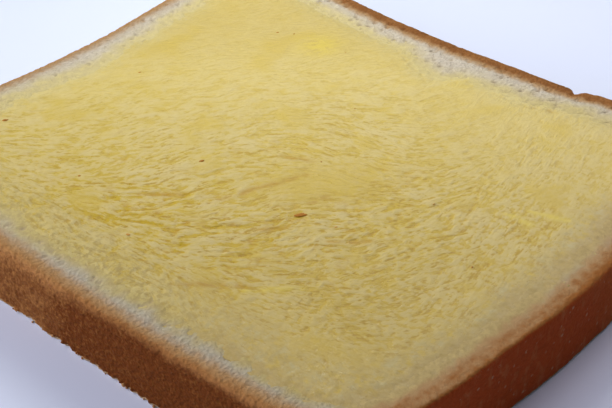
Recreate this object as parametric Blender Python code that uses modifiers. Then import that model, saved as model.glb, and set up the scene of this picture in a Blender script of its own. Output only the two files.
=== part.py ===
"""A slice of white tin bread with a thin coat of margarine, lying flat.

The slice is a soft block with a crust on its four upright sides. Two of the
sides cave in and two swell, as a loaf's do when it cools. The margarine is a
film that stops a few millimetres short of the crust. Metres, +Z up, with the
origin at the middle of the face that the slice lies on.
"""

import math

import bmesh
import bpy
from mathutils import Vector

MM = 0.001

# The slice. The knife pressed its middle down, so its corners stand a little higher.
SLICE_WIDTH = 120 * MM
SLICE_DEPTH = 105 * MM
SLICE_THICKNESS = 14.2 * MM
CORNER_LIFT = 2.0 * MM
CORNER_POWER = 10
RIM_RADIUS = 0.9 * MM
WALL_BULGE = 0.4 * MM

# How far the middle of each side caves in. A side that swells is below zero.
FRONT_CAVE = -1.7 * MM
RIGHT_CAVE = -3.2 * MM
BACK_CAVE = 4.2 * MM
LEFT_CAVE = 2.9 * MM

# A crease that runs down the back crust, and the step on its right.
CREASE_X = 29 * MM
CREASE_DEPTH = 1.3 * MM
CREASE_HALF_WIDTH = 1.1 * MM
STEP_OUT = 0.9 * MM
STEP_WIDTH = 6 * MM
STEP_FADE = 12 * MM

# The unevenness of a baked side: height, waves round the slice, and phase.
CRUST_WAVES = ((0.20 * MM, 5, 0.6), (0.15 * MM, 9, 2.1), (0.10 * MM, 17, 4.0))

# The film of margarine, and the bare crumb that it leaves along each side.
FILM_THICKNESS = 0.6 * MM
FILM_GAP = 0.30 * MM
FILM_RIM = 0.25 * MM
FRONT_BARE = 5.4 * MM
RIGHT_BARE = 5.0 * MM
BACK_BARE = 7.0 * MM
LEFT_BARE = 6.2 * MM
FILM_WAVES = ((0.5 * MM, 7, 1.3), (0.45 * MM, 13, 0.2), (0.35 * MM, 22, 3.1))

# The bay in the film's back edge that the knife missed.
BAY_X = 3 * MM
BAY_DEPTH = 4.0 * MM
BAY_HALF_WIDTH = 5 * MM

# Where the knife left the margarine thicker, and the ridges of its strokes.
DAB_X = 13 * MM
DAB_Y = -6 * MM
DAB_RADIUS = 13 * MM
DAB_HEIGHT = 0.25 * MM
STROKE_HEIGHT = 0.10 * MM
STROKE_SPACING = 15 * MM
STROKE_BEND = 0.8
STROKE_ANGLE = math.radians(48)

# The grid that each block is cut into, with a line about every 5 mm.
GRID_COLUMNS = 24
GRID_ROWS = 22
SLICE_LAYERS = 2
CREASE_LINES = (-2, -1, 0, 1, 2)
CREASE_CLEARANCE = 0.02

BREAD_COLOUR = (0.62, 0.50, 0.34, 1.0)
MARGARINE_COLOUR = (0.62, 0.46, 0.16, 1.0)


def clear_scene():
    """Remove every object that the file opened with."""
    for obj in list(bpy.data.objects):
        bpy.data.objects.remove(obj, do_unlink=True)


def make_material(name, colour, roughness):
    """Make a plain finish of one colour."""
    material = bpy.data.materials.new(name)
    material.use_nodes = True
    shader = material.node_tree.nodes["Principled BSDF"]
    shader.inputs["Base Color"].default_value = colour
    shader.inputs["Roughness"].default_value = roughness
    shader.inputs["Metallic"].default_value = 0.0
    return material


def even_lines(count):
    """Places of the lines that cut the span from -1 to 1 into equal parts."""
    return [-1 + 2 * i / count for i in range(1, count)]


def column_lines():
    """Even lines across the slice, closer together where the crease is."""
    half_width = SLICE_WIDTH / 2
    close = [(CREASE_X + k * CREASE_HALF_WIDTH) / half_width for k in CREASE_LINES]
    even = [
        line
        for line in even_lines(GRID_COLUMNS)
        if all(abs(line - other) > CREASE_CLEARANCE for other in close)
    ]
    return even + close


def gridded_block(name, columns, rows, layers):
    """A cube from -1 to 1 each way, cut by planes at the places given."""
    bm = bmesh.new()
    bmesh.ops.create_cube(bm, size=2.0)
    for axis, places in enumerate((columns, rows, layers)):
        normal = Vector((0, 0, 0))
        normal[axis] = 1.0
        for place in places:
            bmesh.ops.bisect_plane(
                bm,
                geom=bm.verts[:] + bm.edges[:] + bm.faces[:],
                plane_co=normal * place,
                plane_no=normal,
                dist=1e-6,
            )
    mesh = bpy.data.meshes.new(name)
    bm.to_mesh(mesh)
    bm.free()
    return mesh


def side_of(value, below, above):
    """Sign of a coordinate, and the size that belongs to that side."""
    return (1, above) if value > 0 else (-1, below)


def bump(value, half_width):
    """A smooth hump, 1 at the middle and close to 0 at twice the half width."""
    return math.exp(-((value / half_width) ** 2))


def ramp(value):
    """0 below 0, 1 above 1, and a soft slope between."""
    t = min(max(value, 0.0), 1.0)
    return t * t * (3 - 2 * t)


def pushed_out(x, y, angle, waves):
    """Move a point out from the middle by the sum of a few waves."""
    distance = sum(height * math.sin(n * angle + phase) for height, n, phase in waves)
    outward = Vector((x, y)).normalized()
    return x + outward.x * distance, y + outward.y * distance


def rounded_square(u, v):
    """Turn concentric squares into concentric squares with round corners."""
    ring = max(abs(u), abs(v))
    if ring == 0:
        return 0.0, 0.0
    total = abs(u / ring) ** CORNER_POWER + abs(v / ring) ** CORNER_POWER
    size = total ** (-1 / CORNER_POWER)
    return u * size, v * size


def slice_plan(u, v):
    """Place of a point of the square from -1 to 1 in the slice's plan."""
    a, b = rounded_square(u, v)
    x, y = a * SLICE_WIDTH / 2, b * SLICE_DEPTH / 2
    side, cave = side_of(a, LEFT_CAVE, RIGHT_CAVE)
    x -= side * cave * (1 - b**2) * a**4
    side, cave = side_of(b, FRONT_CAVE, BACK_CAVE)
    y -= side * cave * (1 - a**2) * b**4

    ring = max(abs(u), abs(v))
    fading_waves = [(height * ring**4, n, phase) for height, n, phase in CRUST_WAVES]
    x, y = pushed_out(x, y, math.atan2(v, u), fading_waves)

    if v > 0:
        near_back = v**12
        to_corner = SLICE_WIDTH / 2 - x
        step = ramp((x - CREASE_X) / STEP_WIDTH + 0.5) * ramp(to_corner / STEP_FADE)
        y += STEP_OUT * step * near_back
        y -= CREASE_DEPTH * bump(x - CREASE_X, CREASE_HALF_WIDTH) * near_back
    return x, y


def slice_top(x, y):
    """Height of the top face, which rises a little towards the four corners."""
    a = min(abs(2 * x / SLICE_WIDTH), 1.0)
    b = min(abs(2 * y / SLICE_DEPTH), 1.0)
    return SLICE_THICKNESS + CORNER_LIFT * (a * b) ** 2


def film_plan(u, v):
    """Place of a point of the square in the plan of the film of margarine."""
    x, y = slice_plan(u, v)
    a, b = rounded_square(u, v)
    side, bare = side_of(a, LEFT_BARE, RIGHT_BARE)
    x -= side * bare * a**2
    side, bare = side_of(b, FRONT_BARE, BACK_BARE)
    y -= side * bare * b**2
    if v > 0:
        y -= BAY_DEPTH * bump(x - BAY_X, BAY_HALF_WIDTH) * v**6

    ring = max(abs(u), abs(v))
    fading_waves = [(height * ring**6, n, phase) for height, n, phase in FILM_WAVES]
    return pushed_out(x, y, math.atan2(v, u), fading_waves)


def film_relief(x, y):
    """Height of the thick dab and of the knife's shallow ridges."""
    across = y * math.cos(STROKE_ANGLE) - x * math.sin(STROKE_ANGLE)
    bend = STROKE_BEND * math.sin(math.pi * x / (2 * STROKE_SPACING))
    ridges = STROKE_HEIGHT * math.sin(2 * math.pi * across / STROKE_SPACING + bend)
    return ridges + DAB_HEIGHT * bump(math.hypot(x - DAB_X, y - DAB_Y), DAB_RADIUS)


def plan_middle():
    """Middle of the box round the slice's plan, where the origin will be."""
    lines = [-1, *sorted(column_lines()), 1]
    edge = [slice_plan(s, side) for s in lines for side in (-1, 1)]
    edge += [slice_plan(side, s) for s in lines for side in (-1, 1)]
    xs, ys = zip(*edge)
    return Vector(((min(xs) + max(xs)) / 2, (min(ys) + max(ys)) / 2, 0))


def shape_slice(mesh, middle):
    """Turn the gridded cube into the slice."""
    for vertex in mesh.vertices:
        u, v, w = vertex.co
        x, y = slice_plan(u, v)
        z = slice_top(x, y) * (w + 1) / 2
        outward = Vector((x, y, 0)).normalized()
        bulge = outward * WALL_BULGE * (1 - w**2) * max(abs(u), abs(v)) ** 8
        vertex.co = Vector((x, y, z)) + bulge - middle


def shape_film(mesh, middle):
    """Turn the gridded cube into the film of margarine on the slice."""
    for vertex in mesh.vertices:
        u, v, w = vertex.co
        x, y = film_plan(u, v)
        z = slice_top(x, y) + FILM_GAP
        if w > 0:
            inside = 1 - max(abs(u), abs(v)) ** 4
            z += FILM_THICKNESS + film_relief(x, y) * inside
        vertex.co = Vector((x, y, z)) - middle


def finish_object(mesh, rim, material, collection):
    """Put a shaped mesh in the scene with a soft rim and its finish."""
    mesh.materials.append(material)
    mesh.shade_smooth()
    mesh.set_sharp_from_angle(angle=math.radians(50))
    obj = bpy.data.objects.new(mesh.name, mesh)
    collection.objects.link(obj)
    bevel = obj.modifiers.new("soft_rim", "BEVEL")
    bevel.width = rim
    bevel.segments = 2
    bevel.limit_method = "ANGLE"
    bevel.angle_limit = math.radians(55)
    return obj


def build_slice(collection, middle):
    """Build the bread: one solid, crumb and crust together."""
    rows, layers = even_lines(GRID_ROWS), even_lines(SLICE_LAYERS)
    mesh = gridded_block("bread_slice", column_lines(), rows, layers)
    shape_slice(mesh, middle)
    bread = make_material("bread", BREAD_COLOUR, 0.85)
    return finish_object(mesh, RIM_RADIUS, bread, collection)


def build_film(collection, middle):
    """Build the margarine: one thin solid that lies just clear of the bread."""
    columns, rows = even_lines(GRID_COLUMNS), even_lines(GRID_ROWS)
    mesh = gridded_block("margarine_spread", columns, rows, [])
    shape_film(mesh, middle)
    margarine = make_material("margarine", MARGARINE_COLOUR, 0.4)
    return finish_object(mesh, FILM_RIM, margarine, collection)


def main():
    """Build the slice and its coat of margarine."""
    clear_scene()
    collection = bpy.data.collections.new("bread_with_margarine")
    bpy.context.scene.collection.children.link(collection)
    middle = plan_middle()
    build_slice(collection, middle)
    build_film(collection, middle)


main()
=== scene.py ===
"""Looks of a slice of white tin bread with a thin coat of margarine.

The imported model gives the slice's outline, its cut face and the edge of the
margarine. Round it this script builds the crumb, the browned crust, the film
of margarine with its knife strokes, the crumbs that cling to the crust and the
flakes of crust in the film, and sets a plain soft studio. Geometry is worked
out in millimetres and written to Blender in metres.
"""

import logging
import math
from collections.abc import Mapping, Sequence
from dataclasses import dataclass
from enum import Enum
from itertools import product

import bmesh
import bpy
import numpy as np
from mathutils import Matrix, Vector
from mathutils.bvhtree import BVHTree
from mathutils.geometry import delaunay_2d_cdt


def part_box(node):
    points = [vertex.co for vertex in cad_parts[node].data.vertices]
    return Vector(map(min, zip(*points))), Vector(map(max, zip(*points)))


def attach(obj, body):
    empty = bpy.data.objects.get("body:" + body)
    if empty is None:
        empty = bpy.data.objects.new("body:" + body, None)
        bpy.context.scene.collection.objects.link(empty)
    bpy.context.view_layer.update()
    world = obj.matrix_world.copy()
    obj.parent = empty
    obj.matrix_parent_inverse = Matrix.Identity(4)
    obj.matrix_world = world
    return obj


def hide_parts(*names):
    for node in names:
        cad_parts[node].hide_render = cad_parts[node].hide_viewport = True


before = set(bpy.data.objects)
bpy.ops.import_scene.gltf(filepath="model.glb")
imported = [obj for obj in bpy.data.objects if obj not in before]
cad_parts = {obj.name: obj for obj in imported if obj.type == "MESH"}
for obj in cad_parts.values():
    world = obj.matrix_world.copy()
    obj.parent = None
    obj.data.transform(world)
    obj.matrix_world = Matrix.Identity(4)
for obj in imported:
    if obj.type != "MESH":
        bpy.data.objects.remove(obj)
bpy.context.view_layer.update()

Array = np.ndarray
Colour = tuple[float, float, float]
MM = 0.001
TINY = 1e-6
FAR_AWAY = 1000.0
DOWN = (0.0, 0.0, -1.0)
BACK_LEFT = np.array([-0.681, 0.733])
BACK_RIGHT = np.array([0.733, 0.681])

log = logging.getLogger("bread_with_margarine")


# ---------------------------------------------------------------- numbers


def ramp(value: Array, start: float, end: float) -> Array:
    """Rise softly from 0 at start to 1 at end; end may be the lower one."""
    share = np.clip((value - start) / (end - start), 0.0, 1.0)
    return share * share * (3 - 2 * share)


def hump(value: Array, half_width: float) -> Array:
    """A smooth hump, 1 at zero and close to 0 at twice the half width."""
    return np.exp(-((value / half_width) ** 2))


def distance(points: Array, places: Array) -> Array:
    """Level distance from each point to a place, or to a place of its own."""
    return np.linalg.norm(points[:, :2] - places, axis=1)


def terraced(value: Array, steps: float, softness: float) -> Array:
    """Turn a smooth field into flat shelves with short slopes between them.

    Args:
        value: The field.
        steps: Number of shelves for each unit of the field.
        softness: Share of a shelf's height that its slope takes, 0 to 1.

    Returns:
        The shelved field, on the same scale.
    """
    scaled = value * steps
    shelf = np.floor(scaled)
    return (shelf + ramp(scaled - shelf, 0.5 - softness / 2, 0.5 + softness / 2)) / steps


@dataclass(frozen=True)
class RandomField:
    """Random fields over points in millimetres, the same on every run."""

    seed: int
    primes: tuple[int, int, int] = (73856093, 19349663, 83492791)
    mixers: tuple[int, int] = (0x7FB5D329728EA185, 0x81DADEF4BC2DD44D)
    wave_gain: float = 1.7

    def numbers(self, cells: Array, count: int) -> Array:
        """Give each lattice point its own random numbers.

        Args:
            cells: Whole-number lattice points, one in each row.
            count: How many numbers each point gets.

        Returns:
            Numbers from 0 to 1, one row for each point.
        """
        keys = (cells.astype(np.int64) * np.array(self.primes)).view(np.uint64)
        mixed = keys[:, 0] ^ keys[:, 1] ^ keys[:, 2] ^ np.uint64(self.seed * 7919 + 1)
        columns = []
        for _ in range(count):
            for shift, mixer in zip((31, 27), self.mixers):
                mixed = (mixed ^ (mixed >> np.uint64(shift))) * np.uint64(mixer)
            mixed = mixed ^ (mixed >> np.uint64(33))
            columns.append((mixed >> np.uint64(11)).astype(float) / 2.0**53)
        return np.stack(columns, axis=-1)

    def table(self, rows: int, columns: int) -> Array:
        """A table of random numbers from 0 to 1."""
        return self.numbers(np.arange(rows)[:, None] * (1, 0, 0), columns)

    def waves(self, points: Array, size: float | Sequence[float]) -> Array:
        """Smooth noise.

        Args:
            points: Places, one in each row.
            size: Breadth of a hump, one for all axes or one for each.

        Returns:
            Values between about -1 and 1, one for each point.
        """
        place = points / np.asarray(size)
        low = np.floor(place).astype(np.int64)
        part = place - low
        blend = part**3 * (part * (part * 6 - 15) + 10)
        total = np.zeros(len(points))
        for corner in product((0, 1), repeat=3):
            step = np.array(corner)
            slope = self.numbers(low + step, 3) * 2 - 1
            weight = np.prod(np.where(step, blend, 1 - blend), axis=1)
            total += weight * np.einsum("ij,ij->i", slope, part - step)
        return total * self.wave_gain

    def layers(self, points: Array, size: float | Sequence[float], count: int) -> Array:
        """Smooth noise with finer and weaker noise laid over it.

        Args:
            points: Places, one in each row.
            size: Breadth of the widest humps.
            count: Number of layers, each half the size of the one before.

        Returns:
            Values between about -1 and 1, one for each point.
        """
        size = np.asarray(size, dtype=float)
        total = np.zeros(len(points))
        for layer in range(count):
            shifted = points + FAR_AWAY * layer
            total += self.waves(shifted, size / 2**layer) / 2**layer
        return total / (2 - 2 / 2**count)

    def cells(self, points: Array, size: float | Sequence[float]) -> tuple[Array, Array]:
        """Distances to scattered cell middles.

        Args:
            points: Places, one in each row.
            size: Spacing of the cells.

        Returns:
            The distance to the nearest middle, in cell sizes, and a random
            number that belongs to it.
        """
        place = points / np.asarray(size)
        low = np.floor(place).astype(np.int64)
        nearest = np.full(len(points), FAR_AWAY)
        own = np.zeros(len(points))
        for offset in product((-1, 0, 1), repeat=3):
            cell = low + np.array(offset)
            numbers = self.numbers(cell, 4)
            gap = np.linalg.norm(cell + numbers[:, :3] - place, axis=1)
            own = np.where(gap < nearest, numbers[:, 3], own)
            nearest = np.minimum(nearest, gap)
        return nearest, own

    def pits(
        self,
        points: Array,
        size: float,
        reach: tuple[float, float],
        chosen: tuple[float, float],
    ) -> Array:
        """Scattered round pits.

        Args:
            points: Places, one in each row.
            size: Spacing of the cells, which hold one pit each.
            reach: Distances from a pit's middle, in cell sizes, at which it
                starts and is at its deepest.
            chosen: A cell has no pit if its own number is below the first of
                these, and a full one if it is above the second.

        Returns:
            How deep in a pit each point is, from 0 to 1.
        """
        nearest, own = self.cells(points, size)
        return ramp(nearest, *reach) * ramp(own, *chosen)


# ---------------------------------------------------------------- the frame


@dataclass(frozen=True)
class Outline:
    """A closed outline round the origin, as a distance for each direction."""

    radii: Array

    @property
    def directions(self) -> Array:
        """Angles of the stored distances, in radians."""
        return np.arange(len(self.radii)) * (2 * math.pi / len(self.radii))

    def radius(self, angle: Array) -> Array:
        """Distance of the outline in each direction."""
        return np.interp(angle, self.directions, self.radii, period=2 * math.pi)

    def smoothed(self, width: float) -> "Outline":
        """Round off the outline's facets.

        Args:
            width: Length over which the outline is averaged, in millimetres.

        Returns:
            The smoother outline.
        """
        spread = width / self.radii.mean()
        turns = np.fft.rfftfreq(len(self.radii)) * len(self.radii)
        damping = np.exp(-((turns * spread) ** 2) / 2)
        return Outline(np.fft.irfft(np.fft.rfft(self.radii) * damping, len(self.radii)))

    def loop(self, count: int) -> tuple[Array, Array]:
        """Points evenly spaced along the outline.

        Args:
            count: Number of points.

        Returns:
            The points, and the outward direction at each, as rows of x and y.
        """
        angle = self.directions
        points = self.radii[:, None] * np.stack([np.cos(angle), np.sin(angle)], -1)
        closed = np.vstack([points, points[:1]])
        length = np.hypot(*np.diff(closed, axis=0).T)
        travelled = np.concatenate([[0.0], np.cumsum(length)])
        wanted = np.arange(count) * travelled[-1] / count
        even = np.stack([np.interp(wanted, travelled, closed[:, k]) for k in (0, 1)], -1)
        along = np.roll(even, -2, axis=0) - np.roll(even, 2, axis=0)
        along /= np.linalg.norm(along, axis=1)[:, None]
        return even, np.stack([along[:, 1], -along[:, 0]], -1)

    def depth(self, points: Array) -> Array:
        """How far inside the outline each point lies, measured square to it.

        Args:
            points: Rows that start with x and y.

        Returns:
            Distances, below zero outside the outline.
        """
        angle = np.arctan2(points[:, 1], points[:, 0])
        radius = self.radius(angle)
        step = 2 * math.pi / len(self.radii)
        slope = (self.radius(angle + step) - self.radius(angle - step)) / (2 * step)
        return (radius - np.hypot(points[:, 0], points[:, 1])) / np.hypot(1, slope / radius)


def nearest_hit(tree: BVHTree, start: Sequence[float], way: Sequence[float]) -> Vector | None:
    """Where a straight line from start first meets the mesh, or None."""
    return tree.ray_cast(Vector(start), Vector(way))[0]


def search_tree(obj: bpy.types.Object) -> BVHTree:
    """Search tree of an object's mesh, in millimetres."""
    points = [vertex.co / MM for vertex in obj.data.vertices]
    return BVHTree.FromPolygons(points, [list(face.vertices) for face in obj.data.polygons])


@dataclass
class PackedSlice:
    """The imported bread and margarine, read as outlines and heights."""

    bread: bpy.types.Object
    margarine: bpy.types.Object
    direction_count: int = 1440
    facet_width: float = 2.4
    edge_search: tuple[float, float] = (25.0, 75.0)
    edge_error: float = 0.05
    rim_drop: float = 1.5

    def __post_init__(self) -> None:
        """Read both meshes once, in millimetres."""
        self.bread_tree = search_tree(self.bread)
        self.margarine_tree = search_tree(self.margarine)
        self.low, self.high = (np.array(corner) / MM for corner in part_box(self.bread.name))
        self.half = (self.high - self.low)[:2] / 2
        turns = np.arange(self.direction_count) * 2 * math.pi / self.direction_count
        ways = np.stack([np.cos(turns), np.sin(turns)], -1)
        wall = Outline(np.array([self._wall_radius(*way) for way in ways]))
        film = Outline(np.array([self._film_radius(*way) for way in ways]))
        self.wall = wall.smoothed(self.facet_width)
        self.film = film.smoothed(self.facet_width / 2)

    def _wall_radius(self, way_x: float, way_y: float) -> float:
        """Distance of the crust in one direction, at half the slice's height."""
        middle = Vector((0, 0, (self.low[2] + self.high[2]) / 2))
        return (nearest_hit(self.bread_tree, middle, (way_x, way_y, 0)) - middle).length

    def _film_radius(self, way_x: float, way_y: float) -> float:
        """Distance of the margarine's edge in one direction.

        Args:
            way_x: The direction's x.
            way_y: The direction's y.

        Returns:
            The distance, found by looking down on the film again and again.
        """
        inside, outside = self.edge_search
        while outside - inside > self.edge_error:
            radius = (inside + outside) / 2
            above = (radius * way_x, radius * way_y, FAR_AWAY)
            if nearest_hit(self.margarine_tree, above, DOWN) is None:
                outside = radius
            else:
                inside = radius
        return inside

    def shares(self, points: Array) -> Array:
        """Places as shares of the slice's half width and half depth."""
        return points[:, :2] / self.half

    def at(self, across: float, along: float) -> Array:
        """The place with these shares of the half width and the half depth."""
        return self.half * (across, along)

    def top(self, points: Array) -> Array:
        """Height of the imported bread's cut face under each point.

        Args:
            points: Rows of x and y, inside the slice's outline.

        Returns:
            Heights. A point beyond the face takes the height a little inward.
        """
        heights = []
        for x, y in points:
            edge = float(self.wall.radius(math.atan2(y, x))) - self.rim_drop
            pull = min(1.0, edge / max(math.hypot(x, y), TINY))
            heights.append(nearest_hit(self.bread_tree, (x * pull, y * pull, FAR_AWAY), DOWN).z)
        return np.array(heights)


# ---------------------------------------------------------------- mesh tools


def link_new(name: str, data: bpy.types.ID) -> bpy.types.Object:
    """Put a new object in the scene.

    Args:
        name: Name of the object.
        data: Its mesh, light or camera.

    Returns:
        The object.
    """
    obj = bpy.data.objects.new(name, data)
    bpy.context.scene.collection.objects.link(obj)
    return obj


def link_mesh(
    name: str, points: Array, faces: Sequence[Sequence[int]], marks: Mapping[str, Array]
) -> bpy.types.Object:
    """Make an object from points in millimetres.

    Args:
        name: Name of the piece.
        points: Places of the vertices.
        faces: Vertex numbers of each face.
        marks: Named values for the finish, one for each of the first vertices.
            The vertices after them get 0.

    Returns:
        The new object, linked to the scene and shaded smooth.
    """
    mesh = bpy.data.meshes.new(name)
    mesh.from_pydata((points * MM).tolist(), [], faces)
    for mark, values in marks.items():
        padded = np.zeros(len(points), dtype=np.float32)
        padded[: len(values)] = values
        mesh.attributes.new(mark, "FLOAT", "POINT").data.foreach_set("value", padded)
    mesh.validate()
    mesh.shade_smooth()
    return link_new(name, mesh)


def band_faces(ring_count: int, round_count: int) -> list[tuple[int, int, int, int]]:
    """Make the faces between neighbouring rings of vertices.

    Args:
        ring_count: Number of rings, whose vertices are numbered ring after ring.
        round_count: Number of vertices in each ring.

    Returns:
        Vertex numbers of each face.
    """
    faces = []
    for ring in range(ring_count - 1):
        first, second = ring * round_count, (ring + 1) * round_count
        for here in range(round_count):
            there = (here + 1) % round_count
            faces.append((first + there, first + here, second + here, second + there))
    return faces


def cap(loop: Array, first: int, inner: Array, inner_first: int, up: bool) -> list[list[int]]:
    """Fill a loop of vertices with triangles that also use the points inside it.

    Args:
        loop: Rows of x and y, anticlockwise.
        first: Vertex number of the loop's first point.
        inner: Rows of x and y of the points inside the loop.
        inner_first: Vertex number of the first of them.
        up: Whether the triangles face up or down.

    Returns:
        Vertex numbers of each triangle.
    """
    count = len(loop)
    spots = [Vector(point) for point in (*loop, *inner)]
    sides = [(here, (here + 1) % count) for here in range(count)]
    _, _, triangles, sources, _, _ = delaunay_2d_cdt(spots, sides, [], 1, TINY)
    number = [first + k if k < count else inner_first + k - count for (k, *_) in sources]
    faces = [[number[k] for k in triangle] for triangle in triangles]
    return faces if up else [face[::-1] for face in faces]


def inner_grid(outline: Outline, margin: float, spacing: float, noise: RandomField) -> Array:
    """Points scattered over the inside of an outline on a loose grid.

    Args:
        outline: Outline to fill.
        margin: Least distance from the outline.
        spacing: Distance between neighbouring points.
        noise: Field that nudges the points off their grid.

    Returns:
        Rows of x and y.
    """
    looseness = 0.6
    reach = np.arange(-outline.radii.max(), outline.radii.max(), spacing)
    x, y = (plane.ravel() for plane in np.meshgrid(reach, reach))
    flat = np.stack([x, y, np.zeros(len(x))], -1)
    nudge = noise.numbers(np.round(flat / spacing).astype(int), 2) - 0.5
    points = flat[:, :2] + nudge * spacing * looseness
    return points[outline.depth(points) > margin]


@dataclass(frozen=True)
class Ball:
    """A ball of triangles with a radius of one."""

    points: Array
    faces: Array

    def rough(self, noise: RandomField, depth: float, size: float, shift: float) -> Array:
        """Push the ball's points in and out.

        Args:
            noise: Field that pushes them.
            depth: How far, as a share of the ball's radius.
            size: Breadth of the field's humps.
            shift: Distance that keeps this ball apart from others.

        Returns:
            The ball's points.
        """
        return self.points * (1 + depth * noise.waves(self.points + shift, size))[:, None]

    def link(self, name: str, lumps: Sequence[Array]) -> bpy.types.Object:
        """Make one object of separate lumps.

        Args:
            name: Name of the piece.
            lumps: For each lump where it has the ball's points.

        Returns:
            The new object.
        """
        faces = [self.faces + k * len(self.points) for k in range(len(lumps))]
        return link_mesh(name, np.vstack(lumps), np.vstack(faces).tolist(), {})


def unit_ball(detail: int) -> Ball:
    """Make a ball of triangles.

    Args:
        detail: Number of times that its faces are divided.

    Returns:
        The ball.
    """
    form = bmesh.new()
    bmesh.ops.create_icosphere(form, subdivisions=detail, radius=1.0)
    points = np.array([vertex.co[:] for vertex in form.verts])
    faces = np.array([[vertex.index for vertex in face.verts] for face in form.faces])
    form.free()
    return Ball(points, faces)


# ---------------------------------------------------------------- the bread


@dataclass(frozen=True)
class Sides:
    """How much each point belongs to each side of the slice, from 0 to 1."""

    front: Array
    right: Array
    back: Array
    left: Array

    @classmethod
    def facing(cls, outward: Array) -> "Sides":
        """Tell the sides apart by the wall's direction at each point."""
        x, y = outward.T
        return cls(*(ramp(way, 0.3, 0.95) for way in (-y, x, y, -x)))

    def mix(
        self,
        level: float = 0.0,
        front: float = 0.0,
        right: float | Array = 0.0,
        back: float = 0.0,
        left: float = 0.0,
    ) -> Array:
        """Start from a level, and add each side's weight where that side is."""
        along = self.front * front + self.back * back
        return level + along + self.right * right + self.left * left


@dataclass
class Rings:
    """The vertices of the bread's rings, and where on the slice each lies."""

    points: Array
    outward: Array
    inset: Array
    share: Array
    rim_radius: float

    def __post_init__(self) -> None:
        """Tell wall, cut face and sides apart."""
        self.sides = Sides.facing(self.outward)
        self.on_wall = ramp(self.inset, self.rim_radius, 0.0) * ramp(self.share, -0.01, 0.02)
        self.on_face = ramp(self.share, 0.96, 0.999) * ramp(self.inset, 0.0, self.rim_radius)


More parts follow.
